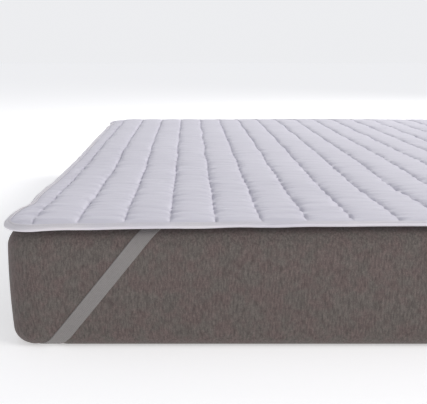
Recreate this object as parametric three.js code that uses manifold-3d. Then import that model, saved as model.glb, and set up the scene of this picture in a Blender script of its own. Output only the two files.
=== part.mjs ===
// A quilted mattress protector, held by an elastic band across each corner, fitted on a plain mattress.
//
// Millimetres, +Z up. The origin is on the surface that the mattress stands on, under its middle.
// -Y is the foot end, +Y the head end, and +X is to the right when seen from the foot end.
//
// The protector is one filled sheet, sewn in straight channels that run the length of the bed, with a
// folded binding around its edge. The four bands leave the edge either side of a corner, run down the
// two faces of the mattress and cross under it. They press into its underside, so that it still rests flat.

import * as THREE from 'three';
import { mergeVertices } from 'three/addons/utils/BufferGeometryUtils.js';
import Module from 'manifold-3d';

const wasm = await Module();
wasm.setup();

const mattress = {
  width: 1524,
  length: 2032,
  height: 198,
  cornerRadius: 50, // seen from above
  cornerSteps: 6,
  underRound: 28, // radius of the lower edge
  underSteps: 7,
  taper: 5, // the lower end of the side is this much further in than its widest line
  widestAt: 148, // height of that widest line
  sideSteps: 5,
  shoulderIn: 50, // the upper edge rounds over within this width
  shoulderDown: 40, // and this height
  shoulderSteps: 9,
};

const quilt = {
  halfWidth: 770, // at the corners
  halfLength: 1020,
  cornerRadius: 55,
  bowIn: [8.5, 9], // the long and short edges lie this much further in between the corners
  bowReach: [560, 500],
  drawIn: [14.5, 6.5], // and the long edges by as much again, along the foot half and the head half
  drawReach: 400,
  bowFade: 1.4, // how fast the bow of a long edge dies out towards the second seam
  channels: 20,
  channelPitch: 72,
  seamThickness: 3.4,
  crownThickness: 9.6,
  crownPower: 3, // how flat the top of a channel is between its seams
  borderRise: 3, // the roll between the last seam and the binding
  edgeThickness: 5, // pressed flat inside the binding
  noseReach: 1.5, // the edge rounds off within this width
  noseChamfer: 0.4,
  endFade: 36, // the channels flatten within this distance of the binding
  rest: 0.45, // the underside lies this much above the mattress
  cornerDrop: 7, // the edge hangs this much lower at a corner than the flat top
  cornerReach: [400, 680], // on the long and short edges
  tipDrop: 2.4, // and its tip a little further
  tipReach: 150,
  endDrop: 0.4, // at the middle of the short edges
  sideDrop: 2, // and of the long edges
  droopWidth: 36, // the edge bends down within this width
  rowPitch: 50,
  uneven: 0.7, // how much the crowns rise and fall
};

const binding = {
  reach: 12, // how far it wraps over the edge of the quilt
  cloth: 1.2, // the folded tape's thickness
  gap: 0.4,
  bendTolerance: 0.03,
};

const band = {
  width: 23,
  thickness: 1.4,
  gap: 0.4,
  crossing: 91, // on the underside: distances from the two faces add up to this
  lean: 0.8, // sideways travel for each millimetre up the face, from 1 on the underside
  leanReach: 18,
  tuck: 31.9, // the sewn end reaches this far in, under the edge
  floorGap: 0.3,
};

const looks = {
  quilt: { color: 0xe4e3ea, roughness: 0.85, metalness: 0 },
  binding: { color: 0xe8e6ea, roughness: 0.8, metalness: 0 },
  band: { color: 0x9f9a96, roughness: 0.7, metalness: 0 },
  mattress: { color: 0x6d6460, roughness: 0.95, metalness: 0 },
};

// Small helpers

const clamp01 = (x) => Math.min(Math.max(x, 0), 1);
const ease = (x) => clamp01(x) ** 2 * (3 - 2 * clamp01(x));
const mix = (a, b, share) => a + (b - a) * share;
const steps = (count) => Array.from({ length: count + 1 }, (_, i) => i / count);

function meshData(points, faces) {
  const geometry = new THREE.BufferGeometry();
  geometry.setAttribute('position', new THREE.Float32BufferAttribute(points.flat(), 3));
  geometry.setIndex(faces.flat());
  geometry.computeVertexNormals();
  return geometry;
}

// Two triangles between corners a, b on one ring and c, d, the corners after them, on the next.
function quad(a, b, c, d) {
  return [
    [a, b, d],
    [a, d, c],
  ];
}

// The faces between two closed rings of the same number of points, the first ring on the right
// hand of the second as seen from outside.
function strip(first, second) {
  return first.flatMap((_, i) => {
    const next = (i + 1) % first.length;
    return quad(first[i], first[next], second[i], second[next]);
  });
}

// A flat lid over a ring that runs counterclockwise seen from above.
function lid(points, ring, faceUp) {
  const contour = ring.map((i) => new THREE.Vector2(points[i][0], points[i][1]));
  return THREE.ShapeUtils.triangulateShape(contour, []).map(([a, b, c]) =>
    faceUp ? [ring[a], ring[b], ring[c]] : [ring[a], ring[c], ring[b]],
  );
}

function toSolid(geometry) {
  const bare = new THREE.BufferGeometry();
  bare.setAttribute('position', geometry.getAttribute('position').clone());
  bare.setIndex(geometry.getIndex().clone());
  const merged = mergeVertices(bare, 1e-4);
  return new wasm.Manifold(
    new wasm.Mesh({
      numProp: 3,
      vertProperties: merged.getAttribute('position').array,
      triVerts: new Uint32Array(merged.getIndex().array),
    }),
  );
}

function fromSolid(solid) {
  const made = solid.getMesh();
  const geometry = new THREE.BufferGeometry();
  geometry.setAttribute('position', new THREE.BufferAttribute(made.vertProperties, 3));
  geometry.setIndex(new THREE.BufferAttribute(made.triVerts, 1));
  geometry.computeVertexNormals();
  return geometry;
}

// The mattress

// The upper edge, as [distance in from the widest line, height], at a share of the way in.
function shoulderPoint(share) {
  const { height, shoulderIn, shoulderDown } = mattress;
  const inward = shoulderIn * share;
  const rise = Math.sqrt(1 - (1 - share) ** 2);
  return [inward, height - shoulderDown + shoulderDown * rise];
}

// The side of the mattress as a line of [distance in, height], from the underside to the top.
function sideProfile() {
  const { underRound, taper, widestAt, height, shoulderDown } = mattress;
  const under = steps(mattress.underSteps).map((share) => {
    const angle = (share * Math.PI) / 2;
    return [taper + underRound * (1 - Math.sin(angle)), underRound * (1 - Math.cos(angle))];
  });
  const side = steps(mattress.sideSteps).map((share) => {
    const z = mix(underRound, height - shoulderDown, share);
    const below = clamp01((widestAt - z) / (widestAt - underRound));
    return [taper * below ** 2, z];
  });
  const shoulder = steps(mattress.shoulderSteps).map((share) => shoulderPoint(share ** 1.6));
  return [...under, ...side.slice(1), ...shoulder.slice(1)];
}

// A rounded rectangle, counterclockwise seen from above.
function roundedRectangle(halfWidth, halfLength, radius, cornerSteps) {
  const corners = [
    [1, -1, -90],
    [1, 1, 0],
    [-1, 1, 90],
    [-1, -1, 180],
  ];
  return corners.flatMap(([sideX, sideY, start]) =>
    steps(cornerSteps).map((share) => {
      const angle = THREE.MathUtils.degToRad(start + 90 * share);
      return [
        sideX * (halfWidth - radius) + radius * Math.cos(angle),
        sideY * (halfLength - radius) + radius * Math.sin(angle),
      ];
    }),
  );
}

function mattressBlock() {
  const points = [];
  const rings = sideProfile().map(([inward, z]) => {
    const outline = roundedRectangle(
      mattress.width / 2 - inward,
      mattress.length / 2 - inward,
      mattress.cornerRadius - inward,
      mattress.cornerSteps,
    );
    return outline.map(([x, y]) => points.push([x, y, z]) - 1);
  });
  const faces = rings.slice(1).flatMap((ring, i) => strip(rings[i], ring));
  faces.push(...lid(points, rings[0], false), ...lid(points, rings.at(-1), true));
  return meshData(points, faces);
}

// The bands

// Where a band runs on one face of a corner. Each station is a line across the band, parallel to the
// edge of the bed: how far along the face its two ends are, and the place and outward direction on the
// side profile.
function bandStations() {
  const profile = sideProfile();
  const endHeight = shoulderPoint(band.tuck / mattress.shoulderIn)[1];
  const line = [...profile.filter(([, z]) => z < endHeight), [band.tuck, endHeight]];
  const turn = mattress.underRound + mattress.taper; // where the flat underside ends
  let along = band.crossing - turn;
  let travelled = 0;
  return line.map(([inward, z], i) => {
    const before = line[Math.max(i - 1, 0)];
    const after = line[Math.min(i + 1, line.length - 1)];
    const stepLength = Math.hypot(inward - before[0], z - before[1]);
    const leanAt = (distance) => mix(1, band.lean, ease(distance / band.leanReach));
    along += stepLength * leanAt(travelled + stepLength / 2);
    travelled += stepLength;
    const slope = leanAt(travelled);
    const reach = (band.width / 2) * Math.hypot(1, slope);
    const run = i === 0 ? [-1, 0] : [after[0] - before[0], after[1] - before[1]];
    const length = Math.hypot(...run);
    return {
      ends: [along - reach, along + reach],
      inward,
      z,
      outward: [run[1] / length, run[0] / length],
      proud: ease(travelled / (mattress.underRound * 1.57)),
    };
  });
}

// A closed ribbon around the corner at +X, +Y. The inner and outer faces are `near` and `far` off the
// mattress where the band lies on its side, and `under` and `below` above the floor where it lies below.
function ribbon({ near, far, under, below, extraWidth }) {
  const points = [];
  const corner = [mattress.width / 2, mattress.length / 2];
  const place = (alongX, station, offset, swap) => {
    const inY = station.inward - station.outward[0] * offset;
    const z = station.z + station.outward[1] * offset;
    const [x, y] = swap ? [inY, alongX] : [alongX, inY];
    return points.push([corner[0] - x, corner[1] - y, z]) - 1;
  };
  const row = (station, swap) => {
    const [a, b] = [station.ends[0] - extraWidth, station.ends[1] + extraWidth];
    const inner = mix(-under, near, station.proud);
    const outer = mix(-below, far, station.proud);
    return [
      place(a, station, inner, swap),
      place(b, station, inner, swap),
      place(b, station, outer, swap),
      place(a, station, outer, swap),
    ];
  };
  const stations = bandStations();
  const rings = [
    ...stations.map((station) => row(station, false)).reverse(),
    ...stations.map((station) => row(station, true)),
  ];
  const faces = rings.slice(1).flatMap((ring, i) => strip(rings[i], ring));
  const [first, last] = [rings[0], rings.at(-1)];
  faces.push(...quad(first[0], first[3], first[1], first[2]));
  faces.push(...quad(last[0], last[1], last[3], last[2]));
  return meshData(points, faces);
}

const corners = [
  ['front_left', -1, -1],
  ['front_right', 1, -1],
  ['back_left', -1, 1],
  ['back_right', 1, 1],
];

function mirrored(geometry, sideX, sideY) {
  const copy = geometry.clone().applyMatrix4(new THREE.Matrix4().makeScale(sideX, sideY, 1));
  if (sideX * sideY < 0) {
    const index = copy.getIndex();
    for (let i = 0; i < index.count; i += 3) {
      const [b, c] = [index.getX(i + 1), index.getX(i + 2)];
      index.setX(i + 1, c);
      index.setX(i + 2, b);
    }
  }
  return copy;
}

// The band's bed in the mattress: a little wider and deeper than the band, and open to the outside.
function pressedMattress() {
  const bed = ribbon({
    near: 0.05,
    far: 6,
    under: band.floorGap + band.thickness + band.gap,
    below: -6,
    extraWidth: 1.2,
  });
  return fromSolid(
    corners.reduce(
      (solid, [, sideX, sideY]) => solid.subtract(toSolid(mirrored(bed, sideX, sideY))),
      toSolid(mattressBlock()),
    ),
  );
}

function bandGeometry() {
  return ribbon({
    near: band.gap,
    far: band.gap + band.thickness,
    under: band.floorGap + band.thickness,
    below: band.floorGap,
    extraWidth: 0,
  });
}

// The quilt

const innerWidth = quilt.halfWidth - binding.reach; // half sizes of the part inside the binding
const innerLength = quilt.halfLength - binding.reach;
const innerRadius = quilt.cornerRadius - binding.reach;

// Rounds the corners of the flat rectangle that the grid of points starts from.
function roundCorner(x, y) {
  const overX = (Math.abs(x) - (innerWidth - innerRadius)) / innerRadius;
  const overY = (Math.abs(y) - (innerLength - innerRadius)) / innerRadius;
  if (overX <= 0 || overY <= 0) return [x, y];
  return [
    Math.sign(x) * (innerWidth - innerRadius + innerRadius * overX * Math.sqrt(1 - overY ** 2 / 2)),
    Math.sign(y) * (innerLength - innerRadius + innerRadius * overY * Math.sqrt(1 - overX ** 2 / 2)),
  ];
}

// How far in from the outer edge a point is.
function distanceIn(x, y) {
  const overX = Math.abs(x) - (innerWidth - innerRadius);
  const overY = Math.abs(y) - (innerLength - innerRadius);
  const outside = Math.hypot(Math.max(overX, 0), Math.max(overY, 0));
  return binding.reach + innerRadius - outside - Math.min(Math.max(overX, overY), 0);
}

// The bands hold the corners out, and the edges between them lie further in.
function bowed(x, y) {
  const { bowIn, bowReach, bowFade, drawIn, drawReach, channelPitch } = quilt;
  const fromSide = innerWidth - Math.abs(x);
  const fromEnd = innerLength - Math.abs(y);
  const drawn = mix(...drawIn, ease((y + 300) / 700)) * clamp01(fromEnd / drawReach);
  const sideIn = bowIn[0] * ease(fromEnd / bowReach[0]) + drawn;
  const side = sideIn * clamp01(1 - fromSide / channelPitch) ** bowFade;
  const end = bowIn[1] * ease(fromSide / bowReach[1]) * clamp01(1 - fromEnd / channelPitch) ** 2;
  return [x - Math.sign(x) * side, y - Math.sign(y) * end];
}

// How far the outer edge hangs below the flat underside, near a point.
function edgeDrop(x, y) {
  const fromSide = quilt.halfWidth - Math.abs(x);
  const fromEnd = quilt.halfLength - Math.abs(y);
  const onSide = clamp01(0.5 + (fromEnd - fromSide) / (2 * quilt.cornerRadius));
  const fromCorner = Math.max(fromSide, fromEnd);
  const pull = clamp01(1 - fromCorner / mix(quilt.cornerReach[1], quilt.cornerReach[0], onSide));
  const tip = quilt.tipDrop * ease(1 - fromCorner / quilt.tipReach);
  return mix(mix(quilt.endDrop, quilt.sideDrop, onSide), quilt.cornerDrop, pull) + tip;
}

function undersideAt(x, y, inward) {
  const bend = clamp01(1 - inward / quilt.droopWidth);
  return mattress.height + quilt.rest - edgeDrop(x, y) * bend ** 2;
}

function thicknessAt(x, y, channel, row) {
  const { seamThickness, crownThickness, edgeThickness, crownPower, channelPitch } = quilt;
  const lastSeam = (quilt.channels * channelPitch) / 2;
  const ends = ease((innerLength - Math.abs(y)) / quilt.endFade);
  if (Math.abs(x) > lastSeam) {
    const share = (Math.abs(x) - lastSeam) / (innerWidth - lastSeam);
    const roll = quilt.borderRise * Math.sin(Math.PI * clamp01(share));
    return mix(edgeThickness, mix(seamThickness, edgeThickness, clamp01(share)) + roll, ends);
  }
  const fromSeam = (x + lastSeam) / channelPitch - channel;
  const crown = 1 - Math.abs(2 * fromSeam - 1) ** crownPower;
  const swell = crown * quilt.uneven * Math.sin(2.4 * channel + 1.3 * row);
  return mix(edgeThickness, mix(seamThickness, crownThickness, crown) + swell, ends);
}

// Columns of points across the quilt: each seam, and the shoulders and crown of each channel.
function quiltColumns() {
  const { channels, channelPitch } = quilt;
  const lastSeam = (channels * channelPitch) / 2;
  const across = [0, 0.17, 0.5, 0.83];
  const inChannels = Array.from({ length: channels }, (_, channel) =>
    across.map((share) => ({ x: (channel + share) * channelPitch - lastSeam, channel })),
  ).flat();
  const border = [mix(lastSeam, innerWidth, 0.5), innerWidth];
  return [
    ...border.map((x) => ({ x: -x, channel: 0 })).reverse(),
    ...inChannels,
    { x: lastSeam, channel: channels - 1 },
    ...border.map((x) => ({ x, channel: channels - 1 })),
  ];
}

// Rows of points along the quilt, closer together at the ends.
function quiltRows() {
  const nearEnd = [0, 9, 20, 38];
  const middle = innerLength - nearEnd.at(-1);
  const count = Math.round((2 * middle) / quilt.rowPitch);
  const inner = steps(count).map((share) => mix(-middle, middle, share));
  const end = nearEnd.slice(0, -1).map((inward) => innerLength - inward);
  return [...end.map((y) => -y), ...inner, ...end.reverse()];
}

// The ring of grid points where the binding ends, counterclockwise, each with its outward direction.
function bindingLine(columns, rows) {
  const [lastColumn, lastRow] = [columns.length - 1, rows.length - 1];
  const walk = [];
  for (let i = 0; i < lastColumn; i++) walk.push([i, 0]);
  for (let j = 0; j < lastRow; j++) walk.push([lastColumn, j]);
  for (let i = lastColumn; i > 0; i--) walk.push([i, lastRow]);
  for (let j = lastRow; j > 0; j--) walk.push([0, j]);
  const line = walk.map(([i, j]) => {
    const flat = roundCorner(columns[i].x, rows[j]);
    return { i, j, flat, at: bowed(...flat) };
  });
  return line.map((here, k) => {
    const before = line.at(k - 1).at;
    const after = line[(k + 1) % line.length].at;
    const along = [after[0] - before[0], after[1] - before[1]];
    const length = Math.hypot(...along);
    return { ...here, out: [along[1] / length, -along[0] / length] };
  });
}

// A point of the edge: `inward` from the quilt's outer edge, and `up` above its underside there.
function edgePoint({ flat, at, out }, inward, up) {
  const shift = binding.reach - inward;
  const z = undersideAt(...flat, inward) + up;
  return [at[0] + out[0] * shift, at[1] + out[1] * shift, z];
}

function quiltGeometry(columns, rows, line) {
  const points = [];
  const add = (point) => points.push(point) - 1;
  const grid = rows.map((y, row) =>
    columns.map(({ x, channel }) => {
      const flat = roundCorner(x, y);
      const thickness = thicknessAt(x, y, channel, row);
      const z = undersideAt(...flat, distanceIn(...flat)) + thickness;
      return add([...bowed(...flat), z]);
    }),
  );
  const faces = [];
  for (let j = 1; j < rows.length; j++)
    for (let i = 1; i < columns.length; i++)
      faces.push(...quad(grid[j - 1][i - 1], grid[j - 1][i], grid[j][i - 1], grid[j][i]));

  const { edgeThickness, noseReach, noseChamfer, droopWidth } = quilt;
  const ring = (inward, up) => line.map((here) => add(edgePoint(here, inward, up)));
  const rings = [
    ring(droopWidth, 0),
    ring((droopWidth + binding.reach) / 2, 0),
    ring(binding.reach, 0),
    ring(noseReach, noseChamfer),
    ring(0, edgeThickness / 2),
    ring(noseReach, edgeThickness - noseChamfer),
    line.map(({ i, j }) => grid[j][i]),
  ];
  rings.slice(1).forEach((upper, k) => faces.push(...strip(rings[k], upper)));
  faces.push(...lid(points, rings[0], false));
  return meshData(points, faces);
}

// The binding

// The places on the line where the binding needs a section, because the edge bends there.
function bends(line) {
  const position = (here) => new THREE.Vector3(...edgePoint(here, 0, 0));
  const kept = [0];
  const straight = (from, to) => {
    const chord = new THREE.Line3(position(line[from]), position(line[to]));
    const nearest = new THREE.Vector3();
    for (let k = from + 1; k < to; k++) {
      const place = position(line[k]);
      chord.closestPointToPoint(place, true, nearest);
      if (nearest.distanceTo(place) > binding.bendTolerance) return false;
    }
    return true;
  };
  const last = line.length - 1;
  for (let k = 1; k <= last; k++) if (k === last || !straight(kept.at(-1), k + 1)) kept.push(k);
  return kept.map((k) => line[k]);
}

// The tape's section as [distance in, height above the underside]: around the inside, then back outside.
function bindingSection() {
  const { edgeThickness, noseReach, noseChamfer } = quilt;
  const { gap, cloth, reach } = binding;
  const middle = edgeThickness / 2;
  const off = gap + cloth;
  const legEnd = reach - 1;
  const inside = [
    [legEnd, edgeThickness + gap],
    [noseReach, edgeThickness - noseChamfer + gap],
    [-gap, middle],
    [noseReach, noseChamfer - gap],
    [legEnd, -gap],
  ];
  const outside = [
    [legEnd, -off],
    [noseReach, -off],
    [-off * 0.6, middle - (middle + off) * 0.62],
    [-off, middle],
    [-off * 0.6, middle + (middle + off) * 0.62],
    [noseReach, edgeThickness + off],
    [legEnd, edgeThickness + off],
  ];
  return [...inside, ...outside].reverse();
}

function bindingGeometry(line) {
  const points = [];
  const section = bindingSection();
  const stations = bends(line).map((here) =>
    section.map(([inward, up]) => points.push(edgePoint(here, inward, up)) - 1),
  );
  const faces = stations.flatMap((ring, k) => strip(ring, stations[(k + 1) % stations.length]));
  return meshData(points, faces);
}

// The whole part

function piece(name, geometry, look) {
  const mesh = new THREE.Mesh(geometry, new THREE.MeshStandardMaterial(look));
  mesh.name = name;
  return mesh;
}

function protectorOnMattress() {
  const columns = quiltColumns();
  const rows = quiltRows();
  const line = bindingLine(columns, rows);
  const group = new THREE.Group();
  group.add(piece('mattress', pressedMattress(), looks.mattress));
  group.add(piece('quilted_pad', quiltGeometry(columns, rows, line), looks.quilt));
  group.add(piece('edge_binding', bindingGeometry(line), looks.binding));
  const shape = bandGeometry();
  corners.forEach(([name, sideX, sideY]) => {
    const mesh = piece(`band_${name}`, shape, looks.band);
    mesh.scale.set(sideX, sideY, 1);
    group.add(mesh);
  });
  return group;
}

export default protectorOnMattress();
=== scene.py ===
import math

import bpy
import numpy as np
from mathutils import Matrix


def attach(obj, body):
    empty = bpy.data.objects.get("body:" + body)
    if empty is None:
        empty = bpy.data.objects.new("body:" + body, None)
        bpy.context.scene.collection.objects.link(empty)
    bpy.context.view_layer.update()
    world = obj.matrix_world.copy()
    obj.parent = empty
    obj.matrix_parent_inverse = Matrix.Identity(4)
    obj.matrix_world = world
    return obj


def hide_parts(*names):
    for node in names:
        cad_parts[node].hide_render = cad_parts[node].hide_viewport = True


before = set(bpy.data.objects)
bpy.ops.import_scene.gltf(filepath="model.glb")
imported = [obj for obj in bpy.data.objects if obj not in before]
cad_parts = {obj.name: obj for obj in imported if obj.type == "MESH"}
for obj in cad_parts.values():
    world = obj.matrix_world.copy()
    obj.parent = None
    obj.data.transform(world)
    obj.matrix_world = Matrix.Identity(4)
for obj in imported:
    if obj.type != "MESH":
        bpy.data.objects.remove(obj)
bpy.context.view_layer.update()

# A quilted mattress protector on a plain mattress. Sizes are in millimetres, and meshes are in metres.
# The foot end is at -Y, and the origin lies under the middle of the mattress.


def ease(x):
    x = np.clip(x, 0, 1)
    return x * x * (3 - 2 * x)


def mix(a, b, share):
    return a + (b - a) * share


def ripple(place, pitch, seed):
    # a wave of about this pitch that never quite repeats, mostly between -1.5 and 1.5
    chance = np.random.default_rng(seed)
    total = 0
    for _ in range(6):
        length = pitch * chance.uniform(0.72, 1.34)
        total = total + np.cos(2 * math.pi * (place / length + chance.random()))
    return total / math.sqrt(3)


def gridFaces(ids):
    corners = [ids[:-1, :-1], ids[:-1, 1:], ids[1:, 1:], ids[1:, :-1]]
    return np.stack(corners, -1).reshape(-1, 4).tolist()


def ringFaces(rings):
    # quads between closed rings of point numbers, each ring a row
    return gridFaces(np.hstack([rings, rings[:, :1]]))


def addPiece(name, points, faces, material):
    mesh = bpy.data.meshes.new(name)
    mesh.from_pydata((np.asarray(points) / 1000).tolist(), [], faces)
    mesh.shade_smooth()
    mesh.materials.append(material)
    piece = bpy.data.objects.new(name, mesh)
    bpy.context.scene.collection.objects.link(piece)
    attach(piece, "root")
    print(f"{name}: {len(mesh.vertices)} points")
    return piece


# Cloths

clothLook = {
    "quilt": (0.735, 0.72, 0.80),
    "quiltShade": (0.70, 0.685, 0.765),
    "binding": (0.795, 0.765, 0.785),
    # the thread is a shade darker than the cloth: partly its own tone and partly painted shade of the
    # seam pits it lies in
    "thread": (0.62, 0.605, 0.655),
    "elastic": (0.27, 0.255, 0.247),
    "elasticRib": (0.225, 0.212, 0.206),
    "knitWarm": (0.139, 0.108, 0.101),
    "knitCool": (0.132, 0.115, 0.105),
}


def newMaterial(name, roughness, sheen):
    material = bpy.data.materials.new(name)
    material.use_nodes = True
    shader = material.node_tree.nodes["Principled BSDF"]
    shader.inputs["Roughness"].default_value = roughness
    shader.inputs["Sheen Weight"].default_value = sheen
    shader.inputs["Sheen Roughness"].default_value = 0.5
    shader.inputs["Specular IOR Level"].default_value = 0.25
    return material, shader


def addNode(material, kind, values=None, **sources):
    # values set the node's own sockets, and each source is an output socket to link from
    node = material.node_tree.nodes.new(kind)
    for key, value in (values or {}).items():
        if key in node.inputs.keys():
            node.inputs[key].default_value = value
        else:
            setattr(node, key, value)
    for key, socket in sources.items():
        material.node_tree.links.new(socket, node.inputs[key])
    return node


def addRamp(material, factor, stops):
    ramp = addNode(material, "ShaderNodeValToRGB", Fac=factor)
    bar = ramp.color_ramp.elements
    while len(bar) < len(stops):
        bar.new(0.5)
    for stop, (place, colour) in zip(bar, stops):
        stop.position = place
        stop.color = (*colour, 1)
    return ramp.outputs["Color"]


def grey(tone):
    return (tone,) * 3


def addNoise(material, place, scale, detail, roughness=0.5):
    values = {"Scale": scale, "Detail": detail, "Roughness": roughness}
    return addNode(material, "ShaderNodeTexNoise", values, Vector=place).outputs["Fac"]


def addWaves(material, place, direction, values):
    values = {"bands_direction": direction, **values}
    return addNode(material, "ShaderNodeTexWave", values, Vector=place).outputs["Fac"]


def stretched(material, place, scale):
    return addNode(material, "ShaderNodeMapping", {"Scale": scale}, Vector=place).outputs["Vector"]


def multiplied(material, kind, first, second):
    node = addNode(material, kind, {"operation": "MULTIPLY"})
    material.node_tree.links.new(first, node.inputs[0])
    material.node_tree.links.new(second, node.inputs[1])
    return node.outputs[0]


def addBump(material, height, distance, strength, under=None):
    # distance is in metres, and under is the normal of coarser relief below this one
    values = {"Distance": distance, "Strength": strength}
    bump = addNode(material, "ShaderNodeBump", values, Height=height)
    if under is not None:
        material.node_tree.links.new(under, bump.inputs["Normal"])
    return bump.outputs["Normal"]


def wovenCloth(name, light, shade, roughness, threadPitch):
    # plain woven cloth: threads both ways, a soft nap, fine creases and slow changes of tone
    material, shader = newMaterial(name, roughness, 0.25)
    links = material.node_tree.links
    place = addNode(material, "ShaderNodeTexCoord").outputs["Object"]
    threads = {"Scale": 0.314 / (threadPitch / 1000), "Distortion": 1.2, "Detail": 1, "Detail Scale": 2}
    warp = addWaves(material, place, "X", threads)
    weft = addWaves(material, place, "Y", threads)
    weave = multiplied(material, "ShaderNodeMath", warp, weft)
    nap = addNoise(material, place, 420, 4, 0.6)
    crease = addNoise(material, stretched(material, place, (0.25, 1, 0.6)), 56, 3, 0.55)
    tone = addNoise(material, place, 5, 3)
    links.new(addRamp(material, tone, [(0.3, shade), (0.62, light)]), shader.inputs["Base Color"])
    shine = [(0.3, grey(roughness - 0.08)), (0.7, grey(roughness + 0.06))]
    links.new(addRamp(material, nap, shine), shader.inputs["Roughness"])
    normal = addBump(material, crease, 0.004, 0.6)
    normal = addBump(material, nap, 0.0004, 0.3, normal)
    normal = addBump(material, weave, 0.00012, 0.4, normal)
    links.new(normal, shader.inputs["Normal"])
    return material


def elasticCloth(name):
    # ribbed elastic: U runs across the band and V along it, both in centimetres
    material, shader = newMaterial(name, 0.62, 0.1)
    links = material.node_tree.links
    place = addNode(material, "ShaderNodeTexCoord").outputs["UV"]
    ribs = addWaves(material, place, "X", {"Scale": 1.23, "Distortion": 0})
    picks = addWaves(material, place, "Y", {"Scale": 3.6, "Distortion": 0.6})
    blotch = addNoise(material, place, 1.6, 3)
    tone = addNode(material, "ShaderNodeMath", {"operation": "MULTIPLY_ADD"})
    links.new(ribs, tone.inputs[0])
    tone.inputs[1].default_value = 0.6
    links.new(blotch, tone.inputs[2])
    stops = [(0.3, clothLook["elasticRib"]), (0.85, clothLook["elastic"])]
    links.new(addRamp(material, tone.outputs["Value"], stops), shader.inputs["Base Color"])
    normal = addBump(material, ribs, 0.0003, 0.5)
    normal = addBump(material, picks, 0.00012, 0.5, normal)
    links.new(normal, shader.inputs["Normal"])
    return material


def knitCloth(name):
    # heathered knit: fine upright streaks of warm and cool yarn over a dark ground
    material, shader = newMaterial(name, 0.9, 0.12)
    links = material.node_tree.links
    place = addNode(material, "ShaderNodeTexCoord").outputs["Object"]
    streak = addNoise(material, stretched(material, place, (1, 1, 0.3)), 330, 3, 0.6)
    fleck = addNoise(material, place, 520, 3, 0.7)
    patch = addNoise(material, place, 38, 4, 0.6)
    yarn = addRamp(material, patch, [(0.4, clothLook["knitWarm"]), (0.6, clothLook["knitCool"])])
    depth = addRamp(material, streak, [(0.28, grey(0.68)), (0.5, grey(1)), (0.72, grey(1.3))])
    speck = addRamp(material, fleck, [(0.32, grey(0.8)), (0.66, grey(1.15))])
    colour = multiplied(material, "ShaderNodeVectorMath", yarn, depth)
    colour = multiplied(material, "ShaderNodeVectorMath", colour, speck)
    links.new(colour, shader.inputs["Base Color"])
    normal = addBump(material, streak, 0.0008, 0.45)
    normal = addBump(material, fleck, 0.0004, 0.5, normal)
    links.new(normal, shader.inputs["Normal"])
    return material


quiltCloth = wovenCloth("quiltCloth", clothLook["quilt"], clothLook["quiltShade"], 0.8, 0.7)
bindingCloth = wovenCloth("bindingCloth", clothLook["binding"], clothLook["quiltShade"], 0.76, 0.8)
# the thread's darker tone is partly painted shade of the seam pits
threadWithPaintedShade = wovenCloth("threadWithPaintedShade", clothLook["thread"], clothLook["quiltShade"], 0.6, 0.5)
elastic = elasticCloth("elastic")
mattressKnit = knitCloth("mattressKnit")
print("cloths made")


# The mattress

mattress = {
    "width": 1524,
    "length": 2032,
    "height": 198,
    "cornerRadius": 50,
    "underRound": 28,
    "taper": 5,  # the lower end of the side is this much further in
    "widestAt": 148,
    "shoulderIn": 50,
    "shoulderDown": 40,
    "unevenness": 0.4,  # the sides swell and sink a little
    "unevenPitch": 420,
}

halfBed = (mattress["width"] / 2, mattress["length"] / 2)
underEdge = mattress["underRound"] + mattress["taper"]  # the flat underside ends this far in


def makeSideLine():
    # the side from the underside to the top: distance travelled, distance in, height, way out
    m = mattress
    angle = np.linspace(0, math.pi / 2, 40)
    inward = [m["taper"] + m["underRound"] * (1 - np.sin(angle))]
    height = [m["underRound"] * (1 - np.cos(angle))]
    z = np.linspace(m["underRound"], m["height"] - m["shoulderDown"], 60)[1:]
    below = np.clip((m["widestAt"] - z) / (m["widestAt"] - m["underRound"]), 0, 1)
    inward.append(m["taper"] * below**2)
    height.append(z)
    share = np.linspace(0, 1, 60)[1:] ** 1.6  # closer together where the shoulder begins
    inward.append(m["shoulderIn"] * share)
    height.append(m["height"] - m["shoulderDown"] * (1 - np.sqrt(1 - (1 - share) ** 2)))
    inward, height = np.concatenate(inward), np.concatenate(height)
    travelled = np.concatenate([[0], np.cumsum(np.hypot(np.diff(inward), np.diff(height)))])
    outIn = -np.gradient(height, travelled)
    outUp = np.gradient(inward, travelled)
    size = np.hypot(outIn, outUp)
    return {"at": travelled, "inward": inward, "z": height, "outIn": outIn / size, "outUp": outUp / size}


sideLine = makeSideLine()


def onSide(at, offset=0):
    # distance in and height at a distance along the side line, and below 0 along the flat underside
    at = np.asarray(at, float)
    flat = at < 0
    keys = ("inward", "z", "outIn", "outUp")
    read = {key: np.interp(at, sideLine["at"], sideLine[key]) for key in keys}
    inward = np.where(flat, underEdge - at, read["inward"])
    outIn = np.where(flat, 0, read["outIn"])
    outUp = np.where(flat, -1, read["outUp"])
    return inward + outIn * offset, np.where(flat, 0, read["z"]) + outUp * offset


band = {
    "width": 23,
    "thickness": 1.3,
    "crossing": 91,  # on the underside: distances from the two faces add up to this
    "lean": 0.8,  # how far it runs along the face for each millimetre up
    "leanReach": 18,
    "tuck": 31.9,  # the sewn end reaches this far in, under the edge
    "floorGap": 0.35,  # under the crossing
    "lift": 0.3,  # off the side of the mattress
    "liftReach": 44,
    "bedWidth": 9,  # the mattress is pressed in this far beside the band
    "bedRim": 1.5,  # and the bed is flat this far
    "bedGap": 0.15,
    "ribs": 8,
    "ribHeight": 0.1,
    "step": 5,  # between the rows of points along it
}


def makeBandLine():
    # where the middle of a band runs: how far along the face it is at each distance along the side line
    at = np.linspace(0, sideLine["at"][-1], 400)
    lean = mix(1, band["lean"], ease(at / band["leanReach"]))
    steps = (lean[1:] + lean[:-1]) / 2 * np.diff(at)
    along = band["crossing"] - underEdge + np.concatenate([[0], np.cumsum(steps)])
    return at, along, lean


bandAt, bandAlong, bandLean = makeBandLine()


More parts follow.
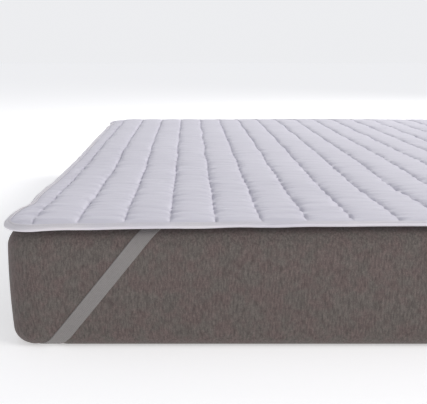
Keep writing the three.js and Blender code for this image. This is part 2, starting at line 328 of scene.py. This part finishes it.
def bandMiddle(at):
    at = np.asarray(at, float)
    along = np.where(at < 0, bandAlong[0] + at, np.interp(at, bandAt, bandAlong))
    return along, np.where(at < 0, 1, np.interp(at, bandAt, bandLean))


def bandOffset(at):
    # how far the band's inner face is off the mattress: pressed in below, and on the surface above
    pressedIn = -band["floorGap"] - band["thickness"]
    return mix(pressedIn, band["lift"], ease(np.asarray(at) / band["liftReach"]))


def edgePlaces(half):
    # places along a straight edge, closer together near the corners, where the bands are
    nearRun, nearStep, farStep = 130, 5, 14
    near = np.arange(0, nearRun, nearStep)
    farRun = 2 * half - 2 * nearRun
    middle = np.linspace(nearRun, nearRun + farRun, round(farRun / farStep))
    return np.concatenate([near, middle, 2 * half - near[::-1]]) - half


straightHalves = [half - mattress["cornerRadius"] for half in halfBed]
edgeShares = [edgePlaces(half) / half for half in straightHalves]


def roundedLine(inset):
    # a rounded rectangle, counterclockwise from above, as x, y and the outward direction
    leastRadius = 6
    radius = max(mattress["cornerRadius"] - inset, leastRadius)
    halves = [half - inset - radius for half in halfBed]
    line = []
    for side in range(4):
        out = np.array([(1, 0), (0, 1), (-1, 0), (0, -1)][side])
        along = np.array([-out[1], out[0]])
        reach, run = halves[side % 2], halves[1 - side % 2]
        for share in edgeShares[1 - side % 2]:
            line.append((*(out * (reach + radius) + along * run * share), *out))
        for angle in np.radians(np.linspace(0, 90, 10)[1:-1]):
            normal = out * math.cos(angle) + along * math.sin(angle)
            line.append((*(out * reach + along * run + normal * radius), *normal))
    return np.array(line)


def bandNearness(at, x, y, outX, outY):
    # 1 where a band lies over this point of the mattress, falling to 0 beside it
    fromEnd, fromSide = halfBed[0] - abs(x), halfBed[1] - abs(y)
    along = np.where(abs(outX) > abs(outY), fromSide, fromEnd)
    middle, lean = bandMiddle(at)
    away = abs(along - middle) / np.hypot(1, lean)
    if at < 0:
        away = abs(fromEnd + fromSide - band["crossing"]) / math.sqrt(2)
    return ease((band["width"] / 2 + band["bedWidth"] - away) / (band["bedWidth"] - band["bedRim"]))


def makeMattress():
    # rings from the middle of the underside outward, round the lower edge and up to the flat top
    under = -np.concatenate([[240, 160, 110], np.linspace(84, 6, 16), [2]])
    bend = np.linspace(0, math.pi / 2 * mattress["underRound"], 9)
    top = sideLine["at"][-1]
    side = np.linspace(bend[-1], top, 34)[1:]
    wayRound = 1100  # about the radius, so that the swelling is even all round
    clear = 40  # and it keeps this far from the lower edge and from the flat top
    rings = []
    for at in [*under, *bend, *side]:
        inward, z = onSide(at)
        x, y, outX, outY = roundedLine(float(inward)).T
        upright = -np.interp(at, sideLine["at"], sideLine["outIn"]) if at > 0 else 0
        nearness = bandNearness(at, x, y, outX, outY)
        press = np.maximum(0, band["bedGap"] - bandOffset(at)) * nearness
        place = np.arctan2(y * halfBed[0], x * halfBed[1]) * wayRound
        sag = ripple(place, mattress["unevenPitch"], 21) * np.sin(at / 60 + 0.6 * ripple(place, 900, 22))
        free = ease((at - clear) / 50) * ease((top - clear - at) / 60) * (1 - nearness)
        pushed = (-mattress["unevenness"] * sag * free - press) * upright
        lift = press * (1 - abs(upright))
        rings.append(np.stack([x + outX * pushed, y + outY * pushed, z + lift], -1))
    points = np.concatenate(rings)
    ids = np.arange(len(points)).reshape(len(rings), -1)
    faces = ringFaces(ids) + [ids[0, ::-1].tolist(), ids[-1].tolist()]
    return addPiece("mattressBlock", points, faces, mattressKnit)


block = makeMattress()
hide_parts("mattress")


# The quilted pad

quilt = {
    "halfWidth": 770,  # at the corners
    "halfLength": 1020,
    "cornerRadius": 62,
    "bowIn": (8.5, 9),  # the long and short edges lie this much further in between the corners
    "bowReach": (560, 500),
    "bowFade": 1.4,  # how soon this dies away inside the outer channel
    "drawIn": (14.5, 6.5),  # the long edges lie in by this much more, in the foot half and the head half
    "drawReach": 400,  # from either end
    "drawChange": (-300, 700),  # where the foot half's value starts to change, and over what run
    "dent": (9.5, 180),  # where a band pulls the long edge in: depth and distance from the end
    "dentReach": (30, 70),  # towards the corner and away from it
    "tipIn": (1.8, 110),  # the corner itself is this much narrower, over this reach
    "channels": 20,
    "pitch": 72,
    "seamThickness": 4,
    "crownThickness": 9.2,
    "crownPower": 3.6,
    "swell": 0.05,  # one stretch of a channel is filled this share more than another
    "swellPitch": 260,
    "leastThickness": 1.3,
    "borderRise": 1.2,  # of the narrow strips outside the first and last seam
    "edgeThickness": 4.2,  # pressed flat inside the binding
    "lipThickness": 4.6,  # where the binding begins
    "endFade": 18,  # from the flat edge to full height, at the ends of the channels
    "sideFade": 12,  # and at the sides
    "endCrown": 0.34,  # the crowns are this share lower at the ends of the channels
    "endReach": 150,
    "rest": 0.45,  # above the mattress
    "cornerDrop": 7,  # the edge lies this much lower near a corner than the flat part
    "cornerReach": (400, 680),  # on the long and short edges
    "tipDrop": 4.3,  # and this much more at the corner itself
    "tipReach": 125,
    "endDrop": 0.4,  # at the middle of the short edges
    "sideDrop": 2,  # at the middle of the long edges
    "droopWidth": 36,  # the strip along the edge that bends down
    "edgeWave": 0.35,  # the edge rises and falls a little
    "edgeWavePitch": 130,
    "slowHeight": 0.35,  # and so does the whole top, in wide low swells
    "slowPitch": (420, 380),
    "rowStep": (4.42, 8.5),  # at the foot and at the head
}

pucker = {
    "rowPitch": 56,  # the cloth gathers over every seam in uneven rows, this far apart
    "rowHeight": 1.15,
    "rowReach": 11,
    "rowTogether": 0.85,  # how much neighbouring seams share their rows
    "rowSharpness": 1.4,
    "pitDepth": 2.2,  # the thread sinks this much further between them
    "pitWidth": 1.7,
    "longPitch": 44,  # low folds that cross a channel
    "longHeight": 0.28,
    "longReach": 42,
    "finePitch": 33,  # short creases that run out from the seams
    "fineHeight": 1.8,
    "fineReach": 14,
    "fineSharpness": 2.4,
    # slants of the folds, rows and creases, on the left and on the right of a seam
    "slants": ((-0.12, -0.12, 0.1), (0.12, 0.1, 0.2)),
    "wander": 0.8,  # the seams aren't quite straight
    "wanderPitch": 330,
    "sway": 3.5,  # and neighbouring seams lean the same way towards the foot
    "swayPitch": 864,
    "swayStart": (300, 700),  # where it begins, and the run over which it grows
    "swayEnd": (0.3, 250),  # at the very end only this share is left, over this reach
    "straightEdge": 50,  # and the side edges stay out of it
    "pulls": [  # where the cloth is pulled aside: shift, x and its reach, y and its reach
        (-9, -60, 130, -620, 190),
        (5, -640, 70, -430, 260),
    ],
    "edgePitch": 25,  # gathers beside the binding
    "edgeHeight": 0.7,
    "edgeReach": 18,
}

binding = {
    "reach": 9,  # over the pad, on both faces
    "cloth": 1,
    "flatWidth": 24,
    "gap": 0.3,
    "roll": 0.7,  # how far the folded strip bulges past its stitches
    "stitchLine": 6,
    "pitch": 27,
    "unevenness": 0.3,
    "finePitch": 11,  # short wrinkles on its upper side
    "fineHeight": 0.12,
}

innerWidth = quilt["halfWidth"] - binding["reach"]  # half sizes of what the binding leaves bare
innerLength = quilt["halfLength"] - binding["reach"]
innerRadius = quilt["cornerRadius"] - binding["reach"]
lastSeam = quilt["channels"] * quilt["pitch"] / 2

waveEnd, waveStep = 1024, 2
readPlaces = np.arange(-waveEnd, waveEnd + 1, waveStep, dtype=float)


def seamWaves(pitch, seed):
    # one wave along each seam
    return np.array([ripple(readPlaces, pitch, seed + k) for k in range(quilt["channels"] + 1)])


def gatherWaves(pitch, seed, together, sharpness):
    # about 1 on the ridges, where the cloth bridges the thread, and below 0 in the hollows between
    waves = []
    drift = 0.35 * ripple(readPlaces, 5 * pitch, seed)
    for k in range(quilt["channels"] + 1):
        own = 0.3 * ripple(readPlaces, 4.2 * pitch, seed + 1 + k) + 3 * ripple(k, 7, seed + 40)
        turns = readPlaces / pitch + drift + mix(own, 0.1 * own, together)
        ridge = (0.5 + 0.5 * np.cos(2 * math.pi * turns)) ** sharpness
        waves.append((2 * ridge - 0.85) * (1 + 0.22 * ripple(readPlaces, 2.7 * pitch, seed + 60 + k)))
    return np.array(waves)


longWaves = [seamWaves(pucker["longPitch"], 100), seamWaves(pucker["longPitch"], 200)]
rowWaves = gatherWaves(pucker["rowPitch"], 300, pucker["rowTogether"], pucker["rowSharpness"])
fineWaves = [-gatherWaves(pucker["finePitch"], seed, 0, pucker["fineSharpness"]) for seed in (700, 800)]
wanderWaves = seamWaves(pucker["wanderPitch"], 500)
swellWaves = seamWaves(quilt["swellPitch"], 600)


def readWave(waves, seam, y):
    place = np.clip((y + waveEnd) / waveStep, 0, len(readPlaces) - 1.01)
    low = place.astype(int)
    return mix(waves[seam, low], waves[seam, low + 1], place - low)


def channelAt(x):
    # the channel under a place across the pad, and how far across the channel that is
    across = (x + lastSeam) / quilt["pitch"]
    channel = np.clip(np.floor(across), 0, quilt["channels"] - 1).astype(int)
    return channel, np.clip(across - channel, 0, 1)


def roundCorner(x, y):
    # moves the square grid's corners onto the round ones
    overX = (abs(x) - (innerWidth - innerRadius)) / innerRadius
    overY = (abs(y) - (innerLength - innerRadius)) / innerRadius
    inCorner = (overX > 0) & (overY > 0)
    shortX = innerRadius * overX * np.sqrt(np.maximum(1 - overY**2 / 2, 0))
    shortY = innerRadius * overY * np.sqrt(np.maximum(1 - overX**2 / 2, 0))
    roundX = np.sign(x) * (innerWidth - innerRadius + shortX)
    roundY = np.sign(y) * (innerLength - innerRadius + shortY)
    return np.where(inCorner, roundX, x), np.where(inCorner, roundY, y)


def distanceIn(x, y):
    # from the outer edge
    overX = abs(x) - (innerWidth - innerRadius)
    overY = abs(y) - (innerLength - innerRadius)
    outside = np.hypot(np.maximum(overX, 0), np.maximum(overY, 0))
    return binding["reach"] + innerRadius - outside - np.minimum(np.maximum(overX, overY), 0)


def bowed(x, y):
    # the bands hold the corners out, and the edges between them lie further in
    fromSide, fromEnd = innerWidth - abs(x), innerLength - abs(y)
    nearSide, nearEnd = (np.clip(1 - far / quilt["pitch"], 0, 1) for far in (fromSide, fromEnd))

    side = quilt["bowIn"][0] * ease(fromEnd / quilt["bowReach"][0])
    changeAt, changeRun = quilt["drawChange"]
    drawn = mix(*quilt["drawIn"], ease((y - changeAt) / changeRun))
    side = side + drawn * np.clip(fromEnd / quilt["drawReach"], 0, 1)
    dent, dentAt = quilt["dent"]
    dentReach = np.where(fromEnd < dentAt, *quilt["dentReach"])
    side = side + dent * np.exp(-(((fromEnd - dentAt) / dentReach) ** 2))
    tipIn, tipReach = quilt["tipIn"]
    side = (side + tipIn * (1 - ease(fromEnd / tipReach))) * nearSide ** quilt["bowFade"]
    end = quilt["bowIn"][1] * ease(fromSide / quilt["bowReach"][1]) * nearEnd**2

    channel, share = channelAt(x)
    wander = mix(readWave(wanderWaves, channel, y), readWave(wanderWaves, channel + 1, y), share)
    swayAt, swayRun = pucker["swayStart"]
    endShare, endReach = pucker["swayEnd"]
    towardFoot = ease((swayAt - y) / swayRun) * mix(endShare, 1, ease(fromEnd / endReach))
    sway = np.sin(2 * math.pi * x / pucker["swayPitch"]) * towardFoot
    shift = pucker["wander"] * wander + pucker["sway"] * sway
    for size, atX, reachX, atY, reachY in pucker["pulls"]:
        shift = shift + size * np.exp(-(((x - atX) / reachX) ** 2) - ((y - atY) / reachY) ** 2)
    shift = shift * ease(fromSide / pucker["straightEdge"])
    return x - np.sign(x) * side + shift, y - np.sign(y) * end


def underside(x, y, inward):
    # height of the pad's underside: flat on the mattress, and lower in a strip along the edge
    fromSide, fromEnd = quilt["halfWidth"] - abs(x), quilt["halfLength"] - abs(y)
    onSideEdge = np.clip(0.5 + (fromEnd - fromSide) / (2 * quilt["cornerRadius"]), 0, 1)
    fromCorner = np.maximum(fromSide, fromEnd)
    pull = np.clip(1 - fromCorner / mix(*quilt["cornerReach"][::-1], onSideEdge), 0, 1)
    drop = mix(mix(quilt["endDrop"], quilt["sideDrop"], onSideEdge), quilt["cornerDrop"], pull)
    drop = drop + quilt["tipDrop"] * ease(1 - fromCorner / quilt["tipReach"])
    drop = drop + quilt["edgeWave"] * ripple(x + y, quilt["edgeWavePitch"], 12)
    bend = np.clip(1 - inward / quilt["droopWidth"], 0, 1)
    return mattress["height"] + quilt["rest"] - drop * bend**2


def thickness(x, y):
    channel, share = channelAt(x)
    crown = 1 - abs(2 * share - 1) ** quilt["crownPower"]
    swell = 1 + quilt["swell"] * readWave(swellWaves, channel, y)
    high = mix(quilt["seamThickness"], quilt["crownThickness"] * swell, crown)

    border = np.clip((abs(x) - lastSeam) / (innerWidth - lastSeam), 0, 1)
    roll = mix(quilt["seamThickness"], quilt["lipThickness"], border)
    roll = roll + quilt["borderRise"] * np.sin(math.pi * border) ** 0.8
    high = np.where(abs(x) > lastSeam, roll, high)

    # gathers, folds and creases from the seam on each side of this place
    pit = 0
    for side, seam in ((1, channel), (0, channel + 1)):
        away = abs(x - seam * quilt["pitch"] + lastSeam)
        longSlant, rowSlant, fineSlant = pucker["slants"][side]
        long = readWave(longWaves[side], seam, y + longSlant * away)
        row = readWave(rowWaves, seam, y + rowSlant * away)
        fine = readWave(fineWaves[side], seam, y + fineSlant * away)
        fold = pucker["longHeight"] * long * np.exp(-((away / pucker["longReach"]) ** 2))
        gather = pucker["rowHeight"] * row * np.exp(-away / pucker["rowReach"])
        crease = pucker["fineHeight"] * fine * np.exp(-((away / pucker["fineReach"]) ** 2))
        high = high + gather + fold * mix(0.3, 1, ease(away / 8)) + crease * ease(away / 4)
        pit = pit + ease((0.35 - row) / 0.6) * np.exp(-((away / pucker["pitWidth"]) ** 2))

    fromEnd = np.maximum(innerLength - abs(y), 0)
    fromSide = np.maximum(innerWidth - abs(x), 0)
    filled = ease(fromEnd / quilt["endFade"]) * ease(fromSide / quilt["sideFade"])
    high = high * (1 - quilt["endCrown"] * (1 - ease(fromEnd / quilt["endReach"])))
    high = mix(quilt["lipThickness"], high, filled) - pucker["pitDepth"] * pit * ease(fromEnd / 6)
    endGather = ripple(x, pucker["edgePitch"], 7) * np.exp(-fromEnd / pucker["edgeReach"])
    sideGather = ripple(y, pucker["edgePitch"], 8) * np.exp(-fromSide / pucker["edgeReach"])
    away = np.minimum(fromEnd, fromSide)
    high = high + pucker["edgeHeight"] * (endGather + sideGather) * ease(away / 5)
    oneWay, otherWay = quilt["slowPitch"]
    slow = ripple(x * 0.8 + y * 0.6, oneWay, 9) * ripple(y * 0.8 - x * 0.6, otherWay, 10)
    high = np.maximum(high, quilt["leastThickness"])
    return high + quilt["slowHeight"] * np.maximum(slow, -1) * ease(away / 80)


def quiltPlace(x, y):
    # a point of the top face, from its place on the flat cloth
    flatX, flatY = roundCorner(x, y)
    z = underside(flatX, flatY, distanceIn(flatX, flatY)) + thickness(x, y)
    plan = bowed(flatX, flatY)
    return np.stack([plan[0], plan[1], z], -1)


def quiltColumns():
    # closest beside the seams, as shares of a channel and of the strip outside the last seam
    near = np.array([0.014, 0.034, 0.075, 0.15, 0.29])
    outside = np.array([0.03, 0.07, 0.15, 0.28, 0.45, 0.65, 0.85, 1])
    across = np.concatenate([[0], near, [0.5], 1 - near[::-1]])
    inside = np.concatenate([(k + across) * quilt["pitch"] for k in range(quilt["channels"])]) - lastSeam
    border = lastSeam + (innerWidth - lastSeam) * outside
    return np.concatenate([-border[::-1], inside, [lastSeam], border])


def quiltRows():
    # closest at the ends, and closer at the foot than at the head
    endSteps = [2.5, 3, 3.5, 4.5, 5.5]
    widenAt, widenRun, leastGap = -400, 900, 4
    rows = [-innerLength]
    for step in endSteps:
        rows.append(rows[-1] + step)
    while rows[-1] < innerLength:
        share = ease((rows[-1] - widenAt) / widenRun)
        rows.append(rows[-1] + mix(*quilt["rowStep"], share))
    rows = np.array(rows)
    rows = rows[rows < innerLength - sum(endSteps) - leastGap]
    return np.concatenate([rows, innerLength - np.cumsum([0, *endSteps])[::-1]])


columns, rows = quiltColumns(), quiltRows()
gridX, gridY = np.meshgrid(columns, rows)
topPoints = quiltPlace(gridX, gridY)


def edgeWalk():
    # the grid's outer points, counterclockwise, with their outward direction and the distance walked
    last = (len(columns) - 1, len(rows) - 1)
    walk = [(i, 0) for i in range(last[0])] + [(last[0], j) for j in range(last[1])]
    walk += [(i, last[1]) for i in range(last[0], 0, -1)] + [(0, j) for j in range(last[1], 0, -1)]
    walk = np.array(walk)
    at = topPoints[walk[:, 1], walk[:, 0], :2]
    flat = np.stack(roundCorner(columns[walk[:, 0]], rows[walk[:, 1]]), -1)
    ahead = np.roll(at, -1, 0) - np.roll(at, 1, 0)
    ahead /= np.linalg.norm(ahead, axis=1)[:, None]
    step = np.linalg.norm(at - np.roll(at, 1, 0), axis=1)
    step[0] = 0
    return {
        "ids": walk[:, 1] * len(columns) + walk[:, 0],
        "at": at,
        "flat": flat,
        "out": np.stack([ahead[:, 1], -ahead[:, 0]], -1),
        "walked": np.cumsum(step),
    }


edge = edgeWalk()


def edgePoints(inward, up):
    # a closed line round the pad, this far in from its outer edge and this far above its underside
    shift = binding["reach"] - inward
    z = underside(*edge["flat"].T, inward) + up
    plan = edge["at"] + edge["out"] * np.asarray(shift).reshape(-1, 1)
    return np.column_stack([plan, z])


def makePad():
    points = [topPoints.reshape(-1, 3)]
    ids = np.arange(topPoints.shape[0] * topPoints.shape[1]).reshape(topPoints.shape[:2])
    faces = gridFaces(ids)
    count = ids.size
    rings = []
    # the underside's outer strip and the pressed edge inside the binding: distance in and height
    edgeLine = [(44, 0), (32, 0), (20, 0), (3, 0.5), (1.6, 1.4), (1.2, 2.4), (2, 3.2), (6, 3)]
    for inward, up in edgeLine:
        ring = edgePoints(inward, up)
        points.append(ring)
        rings.append(np.arange(count, count + len(ring)))
        count += len(ring)
    rings.append(edge["ids"])
    faces += ringFaces(np.array(rings))
    faces.append(rings[0][::-1].tolist())
    return addPiece("quiltedPad", np.concatenate(points), faces, quiltCloth)


pad = makePad()
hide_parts("quilted_pad")


# The binding


def bindingLine():
    # the middle of the folded cloth: distance in, height above the pad's underside, share of the roll
    thick, lip = quilt["edgeThickness"], quilt["lipThickness"]
    off = binding["gap"] + binding["cloth"] / 2
    return [
        (9.2, lip + off + 0.1, 0),
        (8.3, lip + off - 0.1, 0.1),
        (7.2, mix(thick, lip, 0.45) + off, 0),
        (6, thick + off - 0.2, 0),
        (5, thick + off - 0.15, 0.4),
        (3.8, thick + off, 0.9),
        (2.4, thick + off - 0.1, 1),
        (1, thick + off - 0.5, 0.9),
        (-0.3, thick * 0.5 + 1.6, 0.75),
        (-0.6, thick * 0.5 + 0.5, 0.6),
        (0.1, thick * 0.5 - 0.8, 0.45),
        (1.4, 0.2, 0.3),
        (3, -off + 0.1, 0.2),
        (5.4, -off, 0.1),
        (8.2, -off, 0),
    ]


def makeBinding():
    line = np.array(bindingLine())
    middle, share = line[:, :2], line[:, 2]
    ahead = np.gradient(middle, axis=0)
    ahead /= np.linalg.norm(ahead, axis=1)[:, None]
    out = np.stack([ahead[:, 1], -ahead[:, 0]], -1)
    wave = ripple(edge["walked"], binding["pitch"], 31) * binding["unevenness"]
    fine = ripple(edge["walked"], binding["finePitch"], 32) * binding["fineHeight"]
    half = binding["cloth"] / 2
    places = list(range(len(middle)))
    section = [(k, half) for k in places] + [(k, -half) for k in places[::-1]]
    rings = []
    for k, offset in section:
        push = offset + share[k] * binding["roll"] * (1 + wave) + (fine if k < 3 else 0)
        inward = middle[k, 0] + out[k, 0] * push
        up = middle[k, 1] + out[k, 1] * push
        rings.append(edgePoints(inward, up))
    points = np.concatenate(rings)
    ids = np.arange(len(points)).reshape(len(rings), -1)
    faces = ringFaces(np.vstack([ids, ids[:1]]))
    return addPiece("edgeBinding", points, faces, bindingCloth)


edging = makeBinding()
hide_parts("edge_binding")


# The elastic bands

corners = {"front_left": (-1, -1), "front_right": (1, -1), "back_left": (-1, 1), "back_right": (1, 1)}


def makeBand(corner, sideX, sideY):
    # down one face, under the corner and up the other, between two sewn ends
    upper = sideLine["z"] > mattress["height"] / 2
    end = float(np.interp(band["tuck"], sideLine["inward"][upper], sideLine["at"][upper]))
    start = underEdge - band["crossing"] / 2
    reach = np.append(np.arange(start, end, band["step"]), end)
    widths = np.linspace(-0.5, 0.5, 41) * band["width"]
    ribs = band["ribHeight"] * np.cos(widths / band["width"] * 2 * math.pi * band["ribs"])
    rim = np.clip((band["width"] / 2 - abs(widths)) / 0.8, 0, 1) ** 0.5
    outer = band["thickness"] * mix(0.35, 1, rim) + ribs * rim

    def lineAcross(at, onEnd):
        along, lean = bandMiddle(at)
        size = math.hypot(1, lean)
        square = at - widths * lean / size
        travelled = np.minimum(square, end)
        # at the sewn end the line across turns to follow the edge
        alongs = along + widths / size + (travelled - square) * lean
        across = halfBed[0 if onEnd else 1] - alongs
        ring = []
        for lift, way in ((outer, 1), (0, -1)):
            inward, z = onSide(travelled, bandOffset(travelled) + lift)
            away = halfBed[1 if onEnd else 0] - inward
            x, y = (across, away) if onEnd else (away, across)
            ring.append(np.stack([x * sideX, y * sideY, z], -1)[::way])
        return np.concatenate(ring)

    rings = [lineAcross(at, True) for at in reach[::-1]] + [lineAcross(at, False) for at in reach[1:]]
    points = np.concatenate(rings)
    ids = np.arange(len(points)).reshape(len(rings), -1)
    faces = ringFaces(ids) + [ids[0, ::-1].tolist(), ids[-1].tolist()]
    if sideX * sideY < 0:
        faces = [face[::-1] for face in faces]
    piece = addPiece(f"band_{corner}_elastic", points, faces, elastic)
    middles = points.reshape(len(rings), -1, 3)[:, len(widths) // 2]
    length = np.concatenate([[0], np.cumsum(np.linalg.norm(np.diff(middles, axis=0), axis=1))])
    across = np.concatenate([widths, widths[::-1]]) / 10
    layer = piece.data.uv_layers.new(name="UVMap")
    place = np.stack([np.tile(across, len(rings)), np.repeat(length / 10, len(across))], -1)
    pointIds = np.empty(len(piece.data.loops), int)
    piece.data.loops.foreach_get("vertex_index", pointIds)
    layer.data.foreach_set("uv", place[pointIds].ravel())
    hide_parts(f"band_{corner}")
    return length[-1]


bandLength = [makeBand(corner, *sides) for corner, sides in corners.items()][0]


# The stitches

thread = {
    "quiltStitch": 3.2,  # length of a stitch, and from one to the next
    "quiltStep": 4.3,
    "bindingStitch": 3,
    "bindingStep": 3.9,
    "width": 0.55,
    "height": 0.3,
    "sunk": 0.16,  # a bead's middle lies this far below the binding's face
    "raised": 0.12,  # and this far above the pad's seam
}


def makeStitches(name, places, ahead, up, length):
    # each stitch is a short bead with pointed ends that dip into the cloth, and its ten points are
    # given as shares of its length, width and height
    side = np.cross(up, ahead)
    shape = [(-0.5, 0, -0.25)]
    for along in (-0.3, 0.3):
        shape += [(along, 0.5, 0), (along, 0, 1), (along, -0.5, 0), (along, 0, -0.8)]
    shape.append((0.5, 0, -0.25))
    points = [
        places + ahead * along * length + side * across * thread["width"] + up * high * thread["height"]
        for along, across, high in shape
    ]
    points = np.stack(points, 1).reshape(-1, 3)
    bead = [(0, 1 + k, 1 + (k + 1) % 4) for k in range(4)]
    bead += [(1 + (k + 1) % 4, 1 + k, 5 + k, 5 + (k + 1) % 4) for k in range(4)]
    bead += [(9, 5 + (k + 1) % 4, 5 + k) for k in range(4)]
    faces = []
    for first in range(0, len(points), len(shape)):
        faces += [[first + corner for corner in face] for face in bead]
    addPiece(name, points, faces, threadWithPaintedShade)


def sewChannels():
    fromBinding = 3
    y = np.arange(-innerLength + fromBinding, innerLength - fromBinding, thread["quiltStep"])
    places, ahead = [], []
    for k in range(quilt["channels"] + 1):
        x = np.full(len(y), k * quilt["pitch"] - lastSeam)
        here = quiltPlace(x, y)
        step = quiltPlace(x, y + 2) - quiltPlace(x, y - 2)
        places.append(here + [0, 0, thread["raised"]])
        ahead.append(step / np.linalg.norm(step, axis=1)[:, None])
    places, ahead = np.concatenate(places), np.concatenate(ahead)
    up = np.tile([0, 0, 1.0], (len(places), 1))
    makeStitches("channelStitches", places, ahead, up, thread["quiltStitch"])


def sewBinding():
    height = quilt["edgeThickness"] + binding["gap"] + binding["cloth"] - thread["sunk"]
    line = edgePoints(binding["stitchLine"], height)
    line = np.vstack([line, line[:1]])
    lastStep = 7  # back to the first point
    walked = np.append(edge["walked"], edge["walked"][-1] + lastStep)
    at = np.arange(0, walked[-1], thread["bindingStep"])
    places = np.stack([np.interp(at, walked, line[:, axis]) for axis in range(3)], -1)
    step = np.stack([np.interp(at + 2, walked, line[:, axis]) for axis in range(3)], -1) - places
    step[-1] = step[-2]
    ahead = step / np.maximum(np.linalg.norm(step, axis=1)[:, None], 1e-6)
    up = np.tile([0, 0, 1.0], (len(places), 1))
    makeStitches("bindingStitches", places, ahead, up, thread["bindingStitch"])


sewChannels()
sewBinding()


# Floor, light and camera


def addPlane(name, size, z, colour, glow):
    mesh = bpy.data.meshes.new(name)
    corner = size / 2
    points = [(-corner, -corner, z), (corner, -corner, z), (corner, corner, z), (-corner, corner, z)]
    mesh.from_pydata(points, [], [(0, 1, 2, 3)])
    material, shader = newMaterial(name, 0.95, 0)
    shader.inputs["Base Color"].default_value = (*colour, 1)
    shader.inputs["Specular IOR Level"].default_value = 0
    shader.inputs["Emission Color"].default_value = (1, 1, 1, 1)
    shader.inputs["Emission Strength"].default_value = glow
    mesh.materials.append(material)
    plane = bpy.data.objects.new(name, mesh)
    bpy.context.scene.collection.objects.link(plane)


def addLight(name, place, target, size, power, colour):
    light = bpy.data.lights.new(name, "AREA")
    light.shape = "RECTANGLE"
    light.size, light.size_y = size
    light.energy = power
    light.color = colour
    lamp = bpy.data.objects.new(name, light)
    bpy.context.scene.collection.objects.link(lamp)
    lamp.location = place
    toward = np.subtract(target, place)
    flat = math.hypot(toward[0], toward[1])
    lamp.rotation_euler = (math.atan2(flat, -toward[2]), 0, math.atan2(-toward[0], toward[1]))


studio = {
    "floor": (0.95, 0.95, 0.95),
    "floorGlow": 0.43,  # the floor is a light table
    "horizon": (0.845, 0.85, 0.87),
    "sky": (0.415, 0.42, 0.445),
    "keyPower": 154,
    "backPower": 12,
    "fillPower": 54,
    "camera": (-0.4739, -2.2987, 0.462),
    "pitchDown": 10.007,
    "lens": 72.17,
    "shift": 0.0573,
}


def makeWorld():
    # a pale room: white round the horizon and softer overhead
    world = bpy.data.worlds.new("studio")
    bpy.context.scene.world = world
    world.use_nodes = True
    direction = addNode(world, "ShaderNodeTexCoord").outputs["Generated"]
    height = addNode(world, "ShaderNodeSeparateXYZ", Vector=direction).outputs["Z"]
    room = addRamp(world, height, [(0.1, studio["horizon"]), (0.42, studio["sky"])])
    world.node_tree.links.new(room, world.node_tree.nodes["Background"].inputs["Color"])


addPlane("floor", 60, 0, studio["floor"], studio["floorGlow"])
makeWorld()
addLight("key", (3.9, 3.0, 2.6), (0, 0, 0.2), (2.6, 2.2), studio["keyPower"], (1, 0.985, 0.97))
addLight("back", (0.6, 2.9, 2.6), (0, 1, 0.2), (2.4, 1.6), studio["backPower"], (0.98, 0.98, 1))
addLight("fill", (2.7, -2.9, 2.5), (0, -0.9, 0.1), (2, 1.4), studio["fillPower"], (1, 0.97, 0.95))

bpy.context.scene.view_settings.view_transform = "Standard"
lens = bpy.data.cameras.new("camera")
lens.lens = studio["lens"]
lens.sensor_width = 36
lens.shift_x = studio["shift"]
lens.clip_end = 100
camera = bpy.data.objects.new("camera", lens)
camera.location = studio["camera"]
camera.rotation_euler = (math.radians(90 - studio["pitchDown"]), 0, 0)
bpy.context.scene.collection.objects.link(camera)
bpy.context.scene.camera = camera
print("floor, light and camera made")

bpy.context.view_layer.update()
